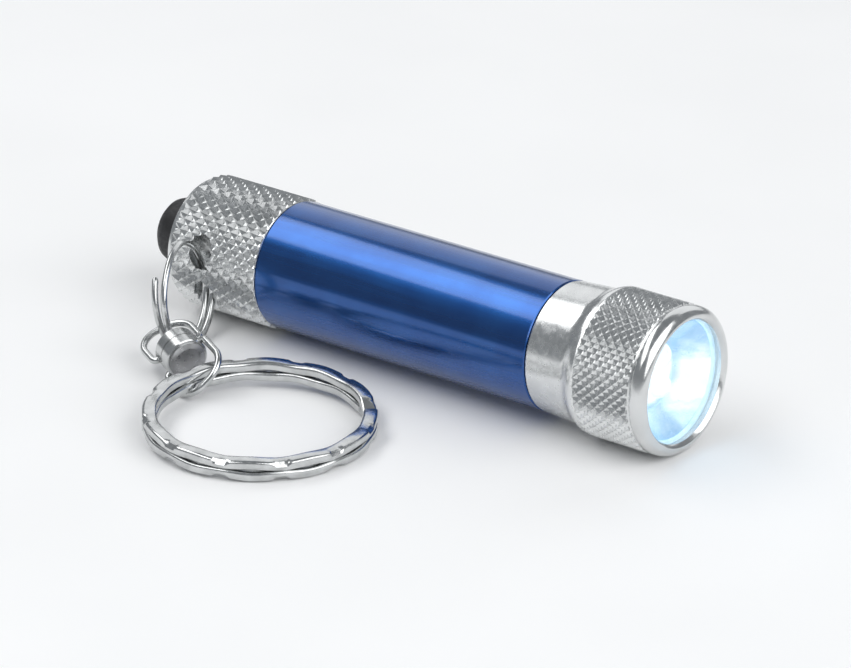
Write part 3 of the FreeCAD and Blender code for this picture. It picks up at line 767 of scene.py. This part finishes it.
def make_key_ring():
    """Key ring: two flat-sided coils that touch at each crimp and bow apart between them."""
    outer = reach("key_ring", KEY_RING)
    _, high = span("key_ring", KEY_RING)
    half_radial = KEY_HALF_RADIAL
    half_coil = KEY_HALF_COIL
    centre = outer - half_radial
    steps = NOTCHES * 48
    overlap = math.radians(8)
    total = 4 * math.pi - 2 * overlap
    corners = 20
    loops = []
    for step in range(steps + 1):
        travelled = overlap + total * step / steps
        crossing = (travelled - 2 * math.pi) / overlap
        blend = min(1, max(0, 0.5 + crossing / 2))
        side = 2 * blend * blend * (3 - 2 * blend) - 1
        angle = KEY_RING_START + travelled
        crimp = notch_amount(angle)
        wave = 0.5 + 0.5 * math.cos((angle - NOTCH_PHASE) * NOTCHES)
        bow = (high - half_coil) * (1 - 0.22 * wave)
        middle = side * bow
        loop = []
        for corner in range(corners):
            turn = 2 * math.pi * corner / corners
            across = math.copysign(abs(math.cos(turn)) ** 0.5, math.cos(turn)) * half_radial
            upward = math.copysign(abs(math.sin(turn)) ** 0.5, math.sin(turn)) * half_coil
            outward = side * upward
            limit = half_radial + half_coil - 0.12 - 0.42 * crimp
            excess = across + outward - limit
            if excess > 0:
                across -= excess / 2
                upward -= math.copysign(excess / 2, side)
            radius = centre + across
            loop.append((middle + upward, radius * math.cos(angle), radius * math.sin(angle)))
        loops.append(loop)
    ring = sweep("crimped_key_ring", loops, KEY_RING, MATERIALS["wire"], CRIMP_EDGE)
    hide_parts("key_ring")
    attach(ring, "key_loop")


def dress_frame_nodes():
    """Materials for the CAD nodes that keep their own shape."""
    choices = {
        "lens": "window",
        "lens_seal": "seal",
        "led_1": "diode",
        "led_2": "diode",
        "led_3": "diode",
        "led_board": "board",
        "battery_sleeve": "sleeve",
        "button_cell_1": "polish",
        "button_cell_2": "polish",
        "button_cell_3": "polish",
        "button_cell_4": "polish",
        "front_contact_spring": "wire",
        "switch_spring": "wire",
        "switch_contact": "brass",
        "switch_body": "switch",
        "tail_o_ring": "rubber",
        "head_o_ring": "rubber",
        "swivel_cup_ring_side": "wire",
        "swivel_cup_key_side": "wire",
        "swivel_rivet": "brushed",
    }
    for node, choice in choices.items():
        piece = frame["nodes"][node]
        piece.data.materials.clear()
        piece.data.materials.append(MATERIALS[choice])


# ---------------------------------------------------------------- stage
FLOOR_SIZE = 8
CAMERA_AIM = (33.09, -1.19, -3.04)
CAMERA_HEADING = 128.28
CAMERA_DIP = 23.99
CAMERA_DISTANCE = 562
CAMERA_LENS = 211.5


def make_floor():
    """Large pale floor under the object."""
    material, nodes, links, shader = new_material("studio_floor")
    field = noise_field(nodes, links, 30, 2)
    colour = two_tones(nodes, links, field.outputs["Fac"], (0.95, 0.95, 0.95), (0.97, 0.97, 0.97))
    links.new(colour, shader.inputs["Base Color"])
    shader.inputs["Roughness"].default_value = 0.9
    bpy.ops.mesh.primitive_plane_add(size=FLOOR_SIZE)
    floor = bpy.context.active_object
    floor.name = "studio_floor"
    floor.data.materials.append(material)
    floor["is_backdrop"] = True


def add_area_light(name, place, target, width, depth, energy):
    """A soft rectangular light that faces a target."""
    data = bpy.data.lights.new(name, "AREA")
    data.shape = "RECTANGLE"
    data.size = width
    data.size_y = depth
    data.energy = energy
    lamp = bpy.data.objects.new(name, data)
    lamp.location = place
    lamp.rotation_euler = (Vector(target) - Vector(place)).to_track_quat("-Z", "Y").to_euler()
    bpy.context.scene.collection.objects.link(lamp)


def make_lights():
    """Softboxes above, behind and to the right, and a dim even surround."""
    low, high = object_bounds()
    middle = [(low[axis] + high[axis]) / 2 for axis in range(3)]
    add_area_light("top_softbox", (-0.25, -0.20, 0.48), middle, 0.9, 0.24, 1.8)
    add_area_light("back_softbox", (-0.20, 0.60, 0.40), middle, 0.9, 0.6, 1.3)
    add_area_light("right_softbox", (0.62, -0.05, 0.45), middle, 0.8, 0.7, 4.0)
    world = bpy.data.worlds.new("studio_surround")
    world.use_nodes = True
    background = world.node_tree.nodes["Background"]
    background.inputs["Color"].default_value = (0.9, 0.95, 1.0, 1)
    background.inputs["Strength"].default_value = 0.28
    bpy.context.scene.world = world


def make_camera():
    """Long lens from the front right of the torch, about 24 degrees above the table."""
    aim = TORCH @ (Vector(CAMERA_AIM) * MM)
    heading = math.radians(CAMERA_HEADING)
    dip = math.radians(CAMERA_DIP)
    forward = Vector(
        (math.cos(heading) * math.cos(dip), math.sin(heading) * math.cos(dip), -math.sin(dip))
    )
    data = bpy.data.cameras.new("photo_camera")
    data.lens = CAMERA_LENS
    data.sensor_width = 36
    camera = bpy.data.objects.new("photo_camera", data)
    camera.location = aim - forward * (CAMERA_DISTANCE * MM)
    camera.rotation_euler = forward.to_track_quat("-Z", "Y").to_euler()
    bpy.context.scene.collection.objects.link(camera)
    bpy.context.scene.camera = camera


make_tail_cap()
make_barrel()
make_head_shell()
make_bezel_ring()
make_reflector()
make_push_button()
make_small_split_ring()
make_bail("ring_side_bail_wire", "bail_ring_side", "ring_bail_pivot", "ring_bail")
make_bail("key_side_bail_wire", "bail_key_side", "key_bail_pivot", "key_bail")
make_key_ring()
dress_frame_nodes()
make_floor()
make_lights()
make_camera()
bpy.context.scene.view_settings.view_transform = "Standard"
